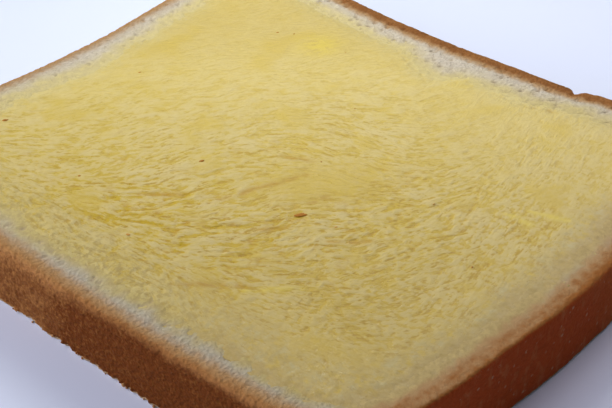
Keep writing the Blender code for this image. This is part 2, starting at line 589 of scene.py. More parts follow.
@dataclass
class BreadSlice:
    """The bread: soft crumb with a browned crust on its four sides."""

    packed: PackedSlice
    name: str = "bread_crumb_and_crust"
    seed: int = 11
    round_count: int = 1160
    strip_width: float = 13.0
    strip_step: float = 0.42
    square_strip: float = 4.0
    wall_step: float = 0.40
    rim_radius: float = 0.75
    base_radius: float = 0.45
    wall_inset: float = 0.02
    top_tuck: float = 0.10
    foot_tuck: float = 0.38
    hidden_margin: float = 2.5
    hidden_step: float = 3.0
    hidden_drop: float = 0.5
    base_margin: float = 4.2
    base_step: float = 1.5
    base_pit_size: float = 2.6
    base_pit_depth: float = 0.35
    crust_thickness: float = 1.15
    least_wear: float = 0.14
    most_wear: float = 3.0
    grain_size: float = 0.8
    pit_size: float = 1.0
    pit_depth: float = 0.20
    lump_size: float = 5.0
    lump_depth: float = 0.14
    tear_depth: float = 1.6
    crease_x: float = 26.6
    crease_half_width: float = 0.8
    crease_depth: float = 1.1
    face_drop: float = 0.10
    pore_size: float = 1.3
    pore_depth: float = 0.42
    fine_depth: float = 0.10
    wide_depth: float = 0.08
    strip_drop: float = 0.35

    def _profile(self) -> list[tuple[float, float, float]]:
        """Rings from deep in the cut face, over the rim and down to the base.

        Returns:
            For each ring its inset from the wall, its height as a share of
            the slice's, and the drop that is taken off that height.
        """
        strip = np.arange(self.strip_width, self.rim_radius, -self.strip_step)
        rings = [(inset, 1.0, 0.0) for inset in strip]
        turns = np.radians([0, 30, 60])
        for turn in turns:
            inset = self.rim_radius * (1 - math.sin(turn))
            rings.append((inset, 1.0, self.rim_radius * (1 - math.cos(turn))))
        straight = self.packed.high[2] - self.rim_radius - self.base_radius
        for share in np.linspace(1, 0, round(straight / self.wall_step) + 1):
            drop = self.rim_radius * share - self.base_radius * (1 - share)
            rings.append((0.0, share, drop))
        for turn in turns[1:]:
            inset = self.base_radius * (1 - math.cos(turn))
            rings.append((inset, 0.0, -self.base_radius * (1 - math.sin(turn))))
        rings += [(inset, 0.0, 0.0) for inset in (self.base_radius, 1.0, 1.8, 3.0)]
        return rings

    def _ring_points(self, inset: float, loop: Array, outward: Array) -> Array:
        """Move the outline inward by an inset.

        Near the wall the move is square to the outline, and further in it is
        towards the middle, so that the rings never cross at the corners.

        Args:
            inset: How far to move it.
            loop: Points of the outline.
            outward: Outward direction at each.

        Returns:
            Rows of x and y.
        """
        square = min(inset, self.square_strip)
        points = loop - outward * (square + self.wall_inset)
        length = np.linalg.norm(points, axis=1)[:, None]
        return points * (1 - (inset - square) / length)

    def build(self) -> bpy.types.Object:
        """Build the slice as one closed mesh.

        Returns:
            The bread's object.
        """
        noise = RandomField(self.seed)
        loop, outward = self.packed.wall.loop(self.round_count)
        profile = self._profile()
        layers = []
        for inset, share, drop in profile:
            flat = self._ring_points(inset, loop, outward)
            height = self.packed.top(flat) * share - drop if share > 0 else 0 * loop[:, 0] - drop
            layers.append(np.column_stack([flat, height]))
        insets, shares, _ = (np.repeat(column, self.round_count) for column in zip(*profile))
        directions = np.tile(outward, (len(profile), 1))
        rings = Rings(np.vstack(layers), directions, insets, shares, self.rim_radius)
        points, marks = self._weathered(rings, noise)

        wall = self.packed.wall
        hidden = inner_grid(wall, self.strip_width + self.hidden_margin, self.hidden_step, noise)
        hidden_points = np.column_stack([hidden, self.packed.top(hidden) - self.hidden_drop])
        under = inner_grid(wall, self.base_margin, self.base_step, noise)
        under_points = np.column_stack([under, np.zeros(len(under))])
        base_pits = noise.pits(under_points, self.base_pit_size, (0.5, 0.15), (0.3, 0.8))
        under_points[:, 2] = self.base_pit_depth * base_pits
        faces = band_faces(len(profile), self.round_count)
        count, last = len(points), len(points) - self.round_count
        faces += cap(points[: self.round_count, :2], 0, hidden, count, up=True)
        faces += cap(points[last:, :2], last, under, count + len(hidden), up=False)
        return link_mesh(self.name, np.vstack([points, hidden_points, under_points]), faces, marks)

    def _weathered(self, rings: Rings, noise: RandomField) -> tuple[Array, dict[str, Array]]:
        """Give the smooth body its pores, its grain and its worn edges.

        Args:
            rings: The smooth body.
            noise: Random field of the bread.

        Returns:
            The moved points, and the marks for the finish.
        """
        pits = noise.pits(rings.points, self.pit_size, (0.5, 0.2), (0.45, 0.8))
        wear = self._wall_wear(rings, pits, noise)
        keep = np.maximum(rings.on_wall, ramp(rings.inset, 3.0, 0.0))
        moved = rings.points.copy()
        moved[:, :2] -= rings.outward * (np.clip(wear, 0.0, self.most_wear) * keep)[:, None]

        pores = noise.pits(
            rings.points * (1, 1, 0.6) + 30, self.pore_size, (0.52, 0.18), (0.35, 0.9)
        )
        pores = pores * ramp(rings.inset, self.crust_thickness * 0.7, self.crust_thickness * 2)
        relief = self.pore_depth * pores * rings.sides.mix(1, right=-0.8, front=-0.3)
        fine = noise.layers(rings.points + 70, 0.9, 2)
        relief += self.fine_depth * fine * rings.sides.mix(1, right=-0.6, front=-0.5)
        relief += self.wide_depth * noise.waves(rings.points + 20, 3.5)
        covered = ramp(rings.inset, self.strip_width - 2.5, self.strip_width - 0.5)
        moved[:, 2] -= rings.on_face * (self.face_drop + relief + self.strip_drop * covered)
        moved[:, 2] = np.clip(moved[:, 2], 0.0, self.packed.high[2])

        pitted = rings.on_face * pores * rings.sides.mix(1, right=-0.7, left=-0.5)
        marks = {
            "crust": self._crust_mark(rings, noise),
            **self._bake_and_painted_rim_light_marks(rings, noise),
            # The pore mark is where painted shade darkens the crumb's pores and the crust's pits.
            "pore": pitted + rings.on_wall * pits * 0.8,
            "grease": self._grease_mark(rings, moved, noise) * rings.on_face,
            "shaded": rings.sides.right,
            # The next mark paints light and shade: darker towards the near corner, lighter towards
            # the back.
            "tone": np.clip(0.62 + 0.013 * (rings.points[:, :2] @ BACK_LEFT), 0, 1),
        }
        return moved, marks

    def _wall_wear(self, rings: Rings, pits: Array, noise: RandomField) -> Array:
        """How far the crust lies inside the smooth wall.

        Args:
            rings: The smooth body.
            pits: How deep in one of the crust's pits each point is.
            noise: Random field of the bread.

        Returns:
            Distances, more at the crease, the tucked foot and the torn edges.
        """
        points, sides, top = rings.points, rings.sides, self.packed.high[2]
        grain = noise.layers(points, self.grain_size, 2)
        lumps = noise.layers(points + 50, self.lump_size, 2)
        roughness = sides.mix(0.45, front=0.55, right=-0.25, back=0.6, left=0.6)
        wear = self.least_wear + roughness * self.pit_depth * (grain + pits)
        wear += self.lump_depth * lumps
        crease = hump(points[:, 0] - self.crease_x, self.crease_half_width)
        wear += self.crease_depth * crease * ramp(rings.outward[:, 1], 0.5, 0.9)
        rise = 2 * points[:, 2] / top - 1
        wear += np.where(rise > 0, self.top_tuck, self.foot_tuck) * rise**2
        torn_base = ramp(points[:, 2], 2.0, 0.0) * sides.mix(front=1.0, right=0.3)
        torn_rim = 0.2 * ramp(points[:, 2], top - 2.5, top) * sides.right
        torn = self.tear_depth * noise.layers(points + 90, (1.0, 1.0, 1.6), 2)
        return wear + torn * np.maximum(torn_base, torn_rim) * rings.on_wall

    def _crust_mark(self, rings: Rings, noise: RandomField) -> Array:
        """How much each point is crust, from 0 to 1.

        Args:
            rings: The smooth body.
            noise: Random field of the bread.

        Returns:
            1 on the wall, and less in the section of crust round the cut face.
        """
        sides = rings.sides
        far_right = sides.right * ramp(self.packed.shares(rings.points)[:, 1], -0.47, 0.47)
        thickness = sides.mix(1, back=1.2, right=0.6, front=0.9, left=0.8) + 1.2 * far_right
        jag = 0.5 * noise.layers(rings.points + 40, 2.0, 3)
        band = 1 - (rings.inset + jag) / (2 * self.crust_thickness * thickness)
        strength = sides.mix(1, right=-0.3, front=-0.25, left=-0.38, back=0.3) + 0.15 * far_right
        band = np.clip(band, 0.0, 1.0) * strength
        band = np.maximum(band, 0.53 * sides.right * ramp(rings.inset + 2 * jag, 5.8, 2.4))
        return np.maximum(rings.on_wall, band * ramp(rings.share, 0.9, 0.99))

    def _bake_and_painted_rim_light_marks(self, rings: Rings, noise: RandomField) -> dict[str, Array]:
        """How darkly baked and how gritty the crust is at each point, and the painted light near
        the rim.

        Args:
            rings: The smooth body.
            noise: Random field of the bread.

        Returns:
            The marks for baking and for grit. Both fade towards the rim, partly as paler, less
            baked crust and partly as painted light on the wall's upper edge.
        """
        sides = rings.sides
        u, v = self.packed.shares(rings.points).T
        fallen = self.packed.high[2] - rings.points[:, 2]
        # The crust pales towards the rim, partly as less baked crust and partly as painted light on
        # the wall's upper edge.
        rim_paling_and_painted_light = 0.6 * ramp(fallen, 6.0, 1.5) + 0.4 * ramp(fallen, 3.0, 0.8)
        rim_paling_and_painted_light += 0.25 * ramp(fallen, 2.2, 0.6)
        only_front = sides.front * (1 - sides.right)
        bake_and_painted_rim_light = sides.mix(0.32, right=0.63 * ramp(v, 0.94, -0.47), left=-0.3, back=0.19)
        bake_and_painted_rim_light += (0.28 + 0.36 * ramp(u, -0.26, 0.23)) * only_front
        bake_and_painted_rim_light += 0.06 * noise.waves(rings.points + 10, 9.0)
        fading = 0.64 - 0.12 * ramp(u, -0.41, 0.33)
        # Near the rim the bake and the grit fade, partly as painted light.
        bake_and_painted_rim_light *= 1 - (fading * only_front + 0.2 * sides.right) * rim_paling_and_painted_light
        grit = (0.35 + 0.65 * only_front + 0.3 * sides.back) * (1 - 0.55 * rim_paling_and_painted_light)
        return {"bake_and_painted_rim_light": np.clip(bake_and_painted_rim_light, 0.0, 1.0), "grit": grit}

    def _grease_mark(self, rings: Rings, moved: Array, noise: RandomField) -> Array:
        """How much margarine has soaked into the cut face, from 0 to 1.

        Args:
            rings: The smooth body.
            moved: The points after weathering.
            noise: Random field of the bread.

        Returns:
            Values that rise across the ragged edge of the film.
        """
        v = self.packed.shares(rings.points)[:, 1]
        covered = self.packed.film.depth(moved) + 1.8 * noise.layers(rings.points + 60, 3.2, 4)
        bare_right = 1.3 * hump(v - 0.11, 0.21)
        covered += rings.sides.mix(right=0.8 - bare_right, front=-0.4, back=-0.6)
        covered += rings.sides.mix(left=0.8, right=1.8) * ramp(v, 0.19, -0.38)
        return 0.45 * ramp(covered, -4.0, -0.6) + 0.55 * ramp(covered, -2.0, 0.8)

    def dress(self, piece: bpy.types.Object) -> None:
        """Give the bread its finish, hide the imported bread and attach the slice to the root body.

        Args:
            piece: The bread's object.
        """
        piece.data.materials.append(BreadFinish().make())
        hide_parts(self.packed.bread.name)
        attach(piece, "root")


# ---------------------------------------------------------------- the margarine


@dataclass(frozen=True)
class KnifeStrokes:
    """The way the knife went over the slice.

    In the middle it went slantwise to the back right, round a slight eddy.
    Along the front it followed the front edge, and on the right it turned up
    along the side. Places and ranges are shares of the slice's half sizes.
    """

    packed: PackedSlice
    lean: float = math.radians(61)
    front_turn: float = math.radians(-80)
    front_slant: float = 0.07
    front_range: tuple[float, float] = (-0.30, -1.02)
    right_turn: float = math.radians(36)
    right_slant: float = 0.6
    right_range: tuple[float, float] = (0.20, 0.75)
    eddy: tuple[float, float] = (0.15, 0.17)
    eddy_turn: float = math.radians(-52)
    eddy_size: float = 17.0
    stop_gap: float = 0.45
    stop_count: int = 5
    fading: float = 0.8
    wander: float = 0.42
    wander_size: float = 3.6

    def angle(self, points: Array) -> Array:
        """Direction of the strokes.

        Args:
            points: Places, one in each row.

        Returns:
            The direction at each place, in radians from the right.
        """
        u, v = self.packed.shares(points).T
        front = ramp(v - self.front_slant * u, *self.front_range)
        right = ramp(u + self.right_slant * v, *self.right_range)
        swirl = hump(distance(points, self.packed.at(*self.eddy)), self.eddy_size)
        turns = self.front_turn * front + self.right_turn * right + self.eddy_turn * swirl
        return self.lean + turns

    def bend(self, flat: Array, noise: RandomField) -> Array:
        """How far the strokes wander off their way at each place, in radians."""
        return self.wander * noise.waves(flat + 5, self.wander_size)

    def stops(self, flat: Array, noise: RandomField) -> list[tuple[Array, float]]:
        """Follow the stroke through each point a little way in both directions.

        Args:
            flat: Places with no height.
            noise: Field that makes the strokes wander.

        Returns:
            Sets of places, one place for each point in a set, and the share
            of each set.
        """
        bend = self.bend(flat, noise)
        found = [(flat, 1.0)]
        for way in (self.stop_gap, -self.stop_gap):
            here = flat
            for stop in range(1, self.stop_count + 1):
                angle = self.angle(here) + bend
                here = here + way * np.column_stack([np.cos(angle), np.sin(angle), 0 * angle])
                found.append((here, float(hump(stop / self.stop_count, self.fading))))
        return found

    def smeared(
        self,
        stops: Sequence[tuple[Array, float]],
        noise: RandomField,
        size: float,
        shift: float,
        loose: Array,
    ) -> Array:
        """Draw round noise out along the strokes.

        Args:
            stops: Places along the strokes, as given by stops.
            noise: Field to draw out.
            size: Breadth of the noise's humps, across the strokes.
            shift: Distance that keeps this noise apart from others.
            loose: Share of the noise that stays round, at each point.

        Returns:
            Long thin humps and hollows, mostly between -2 and 2.
        """
        drawn = sum(share * noise.waves(place + shift, size) for place, share in stops)
        round_grain = noise.waves(stops[0][0] - shift, size)
        total = (1 - loose) * drawn / drawn.std() + loose * round_grain / round_grain.std()
        return total / total.std()


@dataclass
class FilmPlaces:
    """The vertices of the film's upper side, and where on the slice each lies."""

    points: Array
    packed: PackedSlice

    def __post_init__(self) -> None:
        """Tell side, front, right half and middle apart, and rough from calm."""
        self.flat = self.points * (1, 1, 0)
        self.u, self.v = self.packed.shares(self.points).T
        u, v = self.u, self.v
        self.to_back_left = self.points[:, :2] @ BACK_LEFT
        self.to_back_right = self.points[:, :2] @ BACK_RIGHT
        self.side = np.maximum(ramp(u, 0.57, 0.77), ramp(u, 0.08, 0.52) * ramp(v, -0.49, -0.755))
        self.outer = ramp(u, 0.42, 0.685)
        self.front = ramp(v, -0.47, -0.755)
        self.right = ramp(u + 0.26 * v, 0.08, 0.52)
        self.streaky = hump(self.to_back_left + 20.0, 17.0) * (1 - 0.6 * self.right)
        self.streaky *= ramp(self.to_back_right, -60.0, -28.0)
        calm = 0.45 + 0.40 * ramp(self.to_back_left, 0.0, 42.0)
        calm -= 0.15 * ramp(self.to_back_left, -20.0, -45.0) + 0.45 * self.streaky
        calm += self.right * 0.30 * ramp(v, 0.0, 0.53)
        calm -= self.right * 0.05 * ramp(self.to_back_left, 20.0, 0.0)
        self.calm = np.clip(calm, 0.0, 0.85)

    def tone(self) -> Array:
        """How much painted light the margarine gets: painted shade towards the near corner, painted
        light towards the back.

        Returns:
            Values from 0 to 1, more towards the back, and less again near its far edge.
        """
        tone = 0.62 + 0.013 * self.to_back_left + 0.0025 * np.maximum(self.to_back_right, 0.0)
        tone = np.clip(tone, 0.0, 1.0) - 0.45 * ramp(self.to_back_left, 22.0, 50.0)
        return np.clip(tone, 0.0, 1.0)


@dataclass
class MargarineFilm:
    """The margarine: a thin film drawn over the crumb with a knife.

    Places of dabs, lines and pocks are shares of the slice's half sizes.
    """

    packed: PackedSlice
    name: str = "margarine_film"
    seed: int = 23
    columns: int = 318
    rows: int = 272
    coarse_step: int = 4
    overlap: float = 1.9
    sunk: float = -0.50
    level: float = 0.30
    feather: float = 4.2
    underside: float = -1.1
    under_margin: float = 1.5
    under_step: float = 3.0
    dab: tuple[float, float] = (0.16, -0.08)
    dab_size: tuple[float, float] = (6.0, 12.0)
    dab_turn: float = math.radians(50)
    lump: tuple[float, float] = (-0.36, 0.59)
    lump_size: float = 4.0
    smooth_height: float = 0.12
    stroke_grains: tuple[tuple[float, float], ...] = (
        (1.9, 100.0),
        (0.85, 200.0),
        (0.60, 300.0),
        (1.6, 400.0),
    )
    shelf_height: float = 0.075
    bead_height: float = 0.06
    hair_height: float = 0.02
    dent_depth: float = 0.12
    tear_depth: float = 0.12
    knob_size: tuple[float, float, float] = (1.1, 1.1, 1.0)
    grain_height: float = 0.12
    pit_depth: float = 0.20
    furrow_width: float = 0.75
    furrow_depth: float = 0.10
    furrows: tuple[tuple[float, float, float, float], ...] = (
        (-0.02, -0.40, 0.10, -0.08),
        (-0.02, -0.05, 0.07, 0.00),
        (0.20, -0.19, 0.23, -0.10),
        (0.17, -0.41, 0.23, -0.33),
        (-0.20, -0.52, -0.10, -0.42),
        (0.16, -0.77, 0.33, -0.62),
        (0.36, -0.30, 0.44, -0.22),
    )
    ridge_height: float = 0.07
    ridges: tuple[tuple[float, float, float, float], ...] = (
        (0.69, 0.24, 0.80, 0.28),
        (0.65, 0.18, 0.73, 0.19),
        (0.33, -0.65, 0.43, -0.54),
    )
    pock_depth: float = 0.3
    pocks: tuple[tuple[float, float, float], ...] = ((0.39, 0.76, 0.6), (0.44, 0.78, 0.7))

    def __post_init__(self) -> None:
        """Lay out the knife's strokes on the slice."""
        self.strokes = KnifeStrokes(self.packed)

    def _grid(self) -> Array:
        """Spread a square grid over the film's outline.

        Returns:
            Rows of x and y, line after line of the grid.
        """
        lines = (np.linspace(-1, 1, self.columns), np.linspace(-1, 1, self.rows))
        square = np.stack([line.ravel() for line in np.meshgrid(*lines)], -1)
        ring = np.abs(square).max(axis=1)
        corner = square / np.maximum(ring, TINY)[:, None] * self.packed.half
        angle = np.arctan2(corner[:, 1], corner[:, 0])
        radius = (self.packed.film.radius(angle) + self.overlap) * ring
        return np.stack([radius * np.cos(angle), radius * np.sin(angle)], -1)

    def build(self) -> bpy.types.Object:
        """Build the film as one closed thin mesh.

        Returns:
            The margarine's object.
        """
        noise = RandomField(self.seed)
        flat = self._grid()
        base = self._coarse_top(flat)
        points = np.column_stack([flat, base])
        offset, marks = self._surface(FilmPlaces(points, self.packed), noise)
        points[:, 2] = base + offset

        grid = np.arange(len(points)).reshape(self.rows, self.columns)
        quads = np.stack([grid[:-1, :-1], grid[:-1, 1:], grid[1:, 1:], grid[1:, :-1]], -1)
        edge = np.concatenate([grid[0, :-1], grid[:-1, -1], grid[-1, :0:-1], grid[:0:-1, 0]])
        under_loop = np.column_stack([flat[edge], base[edge] + self.underside])
        inner = inner_grid(self.packed.film, self.under_margin, self.under_step, noise)
        under_inner = np.column_stack([inner, self.packed.top(inner) + self.underside])
        faces = quads.reshape(-1, 4).tolist()
        count, around = len(points), len(edge)
        for here in range(around):
            there = (here + 1) % around
            faces.append([edge[there], edge[here], count + here, count + there])
        faces += cap(under_loop[:, :2], count, inner, count + around, up=False)
        return link_mesh(self.name, np.vstack([points, under_loop, under_inner]), faces, marks)

    def _coarse_top(self, flat: Array) -> Array:
        """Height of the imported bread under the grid, from a few of its lines.

        Args:
            flat: The grid's places.

        Returns:
            Heights, read on the coarse lines and straight in between.
        """
        lines = flat.reshape(self.rows, self.columns, 2)
        every_row, every_column = np.arange(self.rows), np.arange(self.columns)
        rows = np.unique(np.append(every_row[:: self.coarse_step], self.rows - 1))
        columns = np.unique(np.append(every_column[:: self.coarse_step], self.columns - 1))
        coarse = lines[np.ix_(rows, columns)].reshape(-1, 2)
        heights = self.packed.top(coarse).reshape(len(rows), len(columns))
        wide = np.stack([np.interp(every_column, columns, line) for line in heights])
        return np.stack([np.interp(every_row, rows, line) for line in wide.T], -1).ravel()

    def _surface(self, spots: FilmPlaces, noise: RandomField) -> tuple[Array, dict[str, Array]]:
        """Shape the film's upper side.

        Args:
            spots: Places on the crumb's cut face.
            noise: Random field of the margarine.

        Returns:
            The film's height over the cut face, and the marks for the finish.
        """
        flat, side, calm = spots.flat, spots.side, spots.calm
        depth = self._edge_depth(spots, noise)
        full = ramp(depth, 1.0, 7.5 + 6.5 * spots.front)
        smooth = self._smooth_patches(flat, noise)
        lively = (1 - 0.8 * smooth) * (1 - calm)
        loosened = (1 - full) * (1 - 0.5 * side)

        stops = self.strokes.stops(flat, noise)
        loose = 0.50 - 0.14 * spots.streaky + 0.14 * spots.right + 0.24 * spots.outer
        broad, fine, hair, seam = (
            self.strokes.smeared(stops, noise, size, shift, loose)
            for size, shift in self.stroke_grains
        )
        patch = noise.layers(flat + 140, 6.5, 2)
        tears = ramp(np.abs(seam), 0.55, 0.10) * ramp(noise.waves(flat + 77, 4.0), 0.0, 0.35)
        tears *= 0.5 + 0.5 * spots.streaky

        shelves = terraced(0.75 * broad + 0.4 * patch, 1.6, 0.4)
        dents = ramp(fine + 0.4 * patch, -0.3, -1.7) + 0.6 * ramp(hair + 0.3 * patch, -0.4, -1.8)
        drawn = self.bead_height * ramp(fine, 0.7, 2.0) + self.hair_height * hair
        drawn = lively * (drawn - self.dent_depth * dents)
        drawn += self.shelf_height * shelves * (1 - 0.8 * smooth) * (1 - 0.6 * calm)
        drawn *= (0.85 + 0.3 * spots.streaky) * (1 - 0.45 * spots.outer)
        relief = drawn * (1 - 0.85 * side * ramp(full, 1.0, 0.3)) + self.smooth_height * smooth
        relief -= self.tear_depth * lively * tears * full
        knob_gap, knob_own = noise.cells(flat + 3, self.knob_size)
        knobs = ramp(knob_gap, 0.7, 0.2) * (0.4 + 0.6 * knob_own)
        relief += lively * knobs * (0.03 + 0.07 * loosened) * (1 - 0.5 * side)

        pocks = sum(
            hump(distance(flat, self.packed.at(across, along)), size)
            for across, along, size in self.pocks
        )
        furrow, ridge = (self._drawn(lines, flat, noise) for lines in (self.furrows, self.ridges))
        relief += self.ridge_height * ridge - self.pock_depth * pocks - self.furrow_depth * furrow
        pits = noise.pits(flat + 47, 1.0, (0.5, 0.2), (0.4, 0.9))
        grains = self.grain_height * noise.layers(flat + 91, 0.8, 2) - self.pit_depth * pits
        cover = ramp(depth, -1.8, self.feather - 1.2 * side) * (0.78 + 0.22 * full)
        flatter = 1 - 0.6 * side
        offset = flatter * (self.sunk + (self.level - self.sunk) * cover)
        offset += relief + grains * loosened
        marks = {
            "streak": np.clip(0.5 + 0.25 * (0.45 * broad + 0.95 * fine) + 0.14 * patch, 0, 1),
            "hair": np.clip(0.5 + 0.25 * hair + 0.08 * patch, 0, 1),
            "full": full,
            "groove": np.clip(tears * lively * full, 0, 1),
            "furrow": np.clip(furrow + pocks, 0, 1),
            "ridge": np.maximum(ridge, 0.9 * self._lump(flat) * ramp(fine, -1.5, 0.5)),
            "brink": ramp(depth, 3.6 - 0.6 * side, 0.2),
            "smooth": smooth,
            "calm": calm,
            "lean": self.strokes.angle(flat) + self.strokes.bend(flat, noise),
            "tone": spots.tone(),
            "side": side,
        }
        return offset, marks

    def _edge_depth(self, spots: FilmPlaces, noise: RandomField) -> Array:
        """How far inside the film's ragged edge each place lies.

        Args:
            spots: Places on the crumb's cut face.
            noise: Field that makes the edge ragged.

        Returns:
            Distances, below zero outside the edge.
        """
        u, v = spots.u, spots.v
        depth = self.packed.film.depth(spots.points) + 1.3 * noise.layers(spots.flat + 15, 4.5, 3)
        depth += 0.2 * spots.front - 0.3 * ramp(v, 0.47, 0.755) - 0.3 * ramp(u, -0.57, -0.78)
        return depth - 1.8 * spots.side * hump(v - 0.13, 0.245)

    def _drawn(
        self, lines: Sequence[tuple[float, ...]], flat: Array, noise: RandomField
    ) -> Array:
        """Where the knife's edge left long lines, from 0 to 1.

        Args:
            lines: First and last place of each line, as shares of the slice.
            flat: Places on the slice, with no height.
            noise: Field that makes the lines waver and fray.

        Returns:
            How far into a line each place is.
        """
        place = flat[:, :2] + 0.45 * noise.waves(flat + 31, 3.0)[:, None]
        total = np.zeros(len(flat))
        for x0, y0, x1, y1 in lines:
            start, span = self.packed.at(x0, y0), self.packed.at(x1 - x0, y1 - y0)
            share = (place - start) @ span / (span @ span)
            nearest = start + np.clip(share, 0, 1)[:, None] * span
            taper = self.furrow_width * (0.45 + 0.55 * hump(share - 0.6, 0.5))
            total = np.maximum(total, hump(distance(place, nearest) / taper, 1.0))
        return total * ramp(noise.waves(flat + 63, 1.6), -0.9, 0.1)

    def _smooth_patches(self, flat: Array, noise: RandomField) -> Array:
        """Where the knife left the margarine thick and smooth.

        Args:
            flat: Places on the slice, with no height.
            noise: Field that scatters the patches.

        Returns:
            Values from 0 to 1.
        """
        x, y = (flat[:, :2] - self.packed.at(*self.dab)).T
        cos, sin = math.cos(self.dab_turn), math.sin(self.dab_turn)
        across = (y * cos - x * sin) / self.dab_size[0]
        along = (x * cos + y * sin) / self.dab_size[1]
        dab = hump(np.hypot(across, along), 1.0)
        patches = ramp(noise.layers(flat + 41, (9.0, 9.0, 1.0), 2), 0.15, 0.5)
        return np.clip(dab * 1.2 + 0.7 * patches + self._lump(flat), 0, 1)

    def _lump(self, flat: Array) -> Array:
        """Where a little more margarine was left at the back, from 0 to 1."""
        return hump(distance(flat, self.packed.at(*self.lump)), self.lump_size)

    def dress(self, piece: bpy.types.Object) -> None:
        """Give the margarine its finish, hide the imported margarine and attach the film to the
        root body.

        Args:
            piece: The margarine's object.
        """
        piece.data.materials.append(MargarineFinish().make())
        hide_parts(self.packed.margarine.name)
        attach(piece, "root")


# ---------------------------------------------------------------- crumbs


@dataclass
class ClingingCrumbs:
    """Tiny crumbs that cling to the crust along its foot and its rim."""

    packed: PackedSlice
    name: str = "clinging_crumbs"
    seed: int = 37
    count: int = 150
    size: tuple[float, float] = (0.22, 0.55)
    lump: float = 0.55
    lump_size: float = 0.8
    low_share: float = 0.8
    right_share: float = 0.2

    def build(self) -> bpy.types.Object:
        """Build all the crumbs as one mesh of separate small lumps.

        Returns:
            The crumbs' object.
        """
        noise = RandomField(self.seed)
        chance = noise.table(self.count, 5)
        loop, outward = self.packed.wall.loop(self.count * 8)
        ball = unit_ball(2)
        smallest, largest = self.size
        lumps = []
        for k in range(self.count):
            spot = int((k + chance[k, 0]) * 8) % len(loop)
            if outward[spot][0] > 0.5 and chance[k, 3] > self.right_share:
                continue
            size = smallest + (largest - smallest) * chance[k, 1] ** 2.5
            low = chance[k, 2] < self.low_share
            tuck = 0.62 - 0.35 * size if low else 0.35
            flat = loop[spot] - outward[spot] * tuck
            height = size * (0.3 + 1.4 * chance[k, 4])
            if not low:
                height = float(self.packed.top(flat[None])[0]) - 0.9 - 2.5 * chance[k, 3]
            stretch = 0.5 + chance[k, 2:5] * 0.35
            shape = ball.rough(noise, self.lump, self.lump_size, 13 * k)
            lump = np.append(flat, height) + shape * size * stretch
            lump[:, 2] = np.clip(lump[:, 2], 0.0, self.packed.high[2])
            lumps.append(lump)
        return ball.link(self.name, lumps)

    def dress(self, piece: bpy.types.Object) -> None:
        """Give the crumbs their browned finish and their place in the frame.

        Args:
            piece: The crumbs' object.
        """
        piece.data.materials.append(CrumbFinish().make())
        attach(piece, "root")


@dataclass
class CrustFlakes:
    """Flakes of crust that the knife carried into the margarine.

    Each laid flake has its place as shares of the slice's half sizes, its
    length and its width.
    """

    film: MargarineFilm
    name: str = "crust_flakes"
    seed: int = 53
    loose_count: int = 9
    thickness: float = 0.24
    lump: float = 0.35
    lump_size: float = 0.9
    laid: tuple[tuple[float, float, float, float], ...] = (
        (-0.18, -0.25, 1.0, 0.6),
        (0.22, -0.25, 2.8, 1.0),
        (0.33, -0.23, 0.5, 0.4),
        (-0.08, -0.69, 0.9, 0.5),
        (-0.79, -0.53, 1.2, 0.7),
    )
    scatter: tuple[float, float] = (0.73, 0.68)
    brown: Colour = (0.40, 0.165, 0.03)
    tan: Colour = (0.55, 0.29, 0.07)

    def build(self, film_piece: bpy.types.Object) -> bpy.types.Object:
        """Build all the flakes as one mesh, pressed into the film.

        Args:
            film_piece: The margarine's object, to lay the flakes on.

        Returns:
            The flakes' object.
        """
        noise = RandomField(self.seed)
        spots = list(self.laid)
        for x, y, long, _ in noise.table(self.loose_count, 4):
            length = 0.3 + 0.35 * long
            place = np.array([2 * x - 1, 2 * y - 1]) * self.scatter
            spots.append((*place, length, length * 0.6))
        tree = search_tree(film_piece)
        ball = unit_ball(2)
        lumps = []
        for k, (across, along, length, width) in enumerate(spots):
            x, y = self.film.packed.at(across, along)
            surface = nearest_hit(tree, (x, y, FAR_AWAY), DOWN)
            turn = float(self.film.strokes.angle(np.array([[x, y]]))[0])
            cos, sin = math.cos(turn), math.sin(turn)
            shape = ball.rough(noise, self.lump, self.lump_size, 17 * k)
            shape = shape * (length / 2, width / 2, self.thickness / 2)
            turned = shape @ np.array([[cos, sin, 0], [-sin, cos, 0], [0, 0, 1]])
            lumps.append(turned + (x, y, surface.z))
        return ball.link(self.name, lumps)

    def dress(self, piece: bpy.types.Object) -> None:
        """Give the flakes their finish and their place in the frame.

        Args:
            piece: The flakes' object.
        """
        finish = CrumbFinish("crust_flakes", self.brown, self.tan)
        piece.data.materials.append(finish.make())
        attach(piece, "root")


# ---------------------------------------------------------------- node sheets


class Wire:
    """A socket's output that can be used in arithmetic."""

    def __init__(self, sheet: "Sheet", socket: bpy.types.NodeSocket) -> None:
        """Remember the sheet that the socket belongs to."""
        self.sheet = sheet
        self.socket = socket

    def _math(self, operation: str, first: "Value", second: "Value") -> "Wire":
        """Add a Math node and give its result."""
        return self.sheet.add("ShaderNodeMath", {"operation": operation}, {0: first, 1: second})

    def __add__(self, other: "Value") -> "Wire":
        """Sum."""
        return self._math("ADD", self, other)

    def __sub__(self, other: "Value") -> "Wire":
        """Difference."""
        return self._math("SUBTRACT", self, other)

    def __rsub__(self, other: "Value") -> "Wire":
        """Difference, reflected."""
        return self._math("SUBTRACT", other, self)

    def __mul__(self, other: "Value") -> "Wire":
        """Product."""
        return self._math("MULTIPLY", self, other)

    __radd__ = __add__
    __rmul__ = __mul__


Value = Wire | float
Input = Wire | float | Sequence[float]


